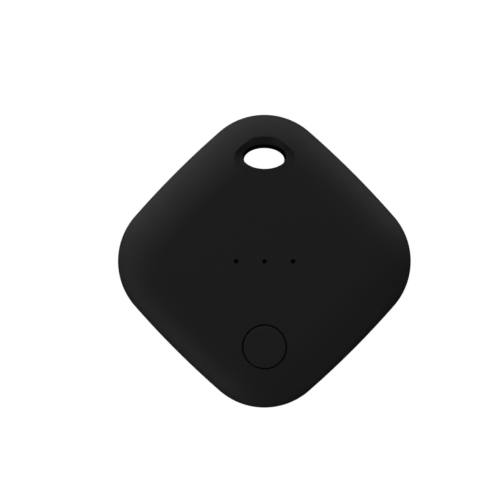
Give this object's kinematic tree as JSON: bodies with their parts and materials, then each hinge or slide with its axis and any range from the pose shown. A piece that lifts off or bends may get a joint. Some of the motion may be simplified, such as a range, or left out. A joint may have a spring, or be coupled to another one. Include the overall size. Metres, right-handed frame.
{
  "type": "bluetooth tracker tag",
  "caption": "Rounded-square tracker tag with a corner eyelet, flush round button, central sound pinholes, clip-on rear cover and a coin cell inside.",
  "frame": {"origin": "middle of the flat rear face, on the surface the tag lies on", "axes": "+Z is the front face's normal, +Y points towards the eyelet tip, +X is to the right seen from the front"},
  "size_m": [0.0456, 0.0456, 0.0092],
  "materials": {
    "shell_plastic": "fine-textured satin black moulded plastic",
    "black_plastic": "moulded black thermoplastic",
    "ivory_plastic": "moulded ivory thermoplastic",
    "tinned_steel": "tin-plated, satin",
    "screw_steel": "nickel-plated",
    "cell_steel": "brushed stainless, circular grain",
    "cell_core": "pressed powder and foil",
    "board_laminate": "green solder mask over glass laminate",
    "chip_epoxy": "matt moulding compound",
    "white_ceramic": "unglazed",
    "tan_ceramic": "unglazed with tinned ends",
    "ferrite": "sintered ferrite",
    "sounder_brass": "rolled brass",
    "gilt_bronze": "gold-flashed spring bronze",
    "foam_tape": "closed-cell foam",
    "mesh_fabric": "woven acoustic mesh"
  },
  "bodies": {
    "cover": {"rear_cover": "shell_plastic", "cell_foam_pad": "foam_tape"},
    "shell": {"front_shell": "shell_plastic", "switch_body": "black_plastic", "switch_frame": "tinned_steel", "switch_dome": "tinned_steel", "switch_terminals": "tinned_steel", "circuit_board": "board_laminate", "radio_chip": "chip_epoxy", "crystals": "tinned_steel", "chip_antenna": "white_ceramic", "chip_capacitors": "tan_ceramic", "chip_resistors": "chip_epoxy", "driver_inductor": "ferrite", "driver_transistor": "chip_epoxy", "sounder_plate": "sounder_brass", "sounder_ceramic": "white_ceramic", "sounder_adhesive": "foam_tape", "sounder_contacts": "gilt_bronze", "acoustic_mesh": "mesh_fabric", "board_screws": "screw_steel", "positive_contact": "gilt_bronze", "negative_contact": "gilt_bronze"},
    "button": {"button_cap": "shell_plastic", "switch_plunger": "ivory_plastic"},
    "battery": {"battery_can": "cell_steel", "battery_cap": "cell_steel", "battery_gasket": "black_plastic", "battery_core": "cell_core"}
  },
  "joints": [
    {"name": "shell_lift", "type": "slide", "parent": "cover", "child": "shell", "axis": [0, 0, 1], "range_m": [0, 0.024]},
    {"name": "button_press", "type": "slide", "parent": "shell", "child": "button", "axis": [0, 0, -1], "range_m": [0, 0.00025], "stiffness_N_per_m": 4800, "deforming": ["switch_dome"]},
    {"name": "battery_lift", "type": "slide", "parent": "cover", "child": "battery", "axis": [0, 0, 1], "range_m": [0, 0.012]}
  ],
  "couplings": [
    {"joint": "battery_lift", "follows": "shell_lift", "ratio": 0.5}
  ]
}
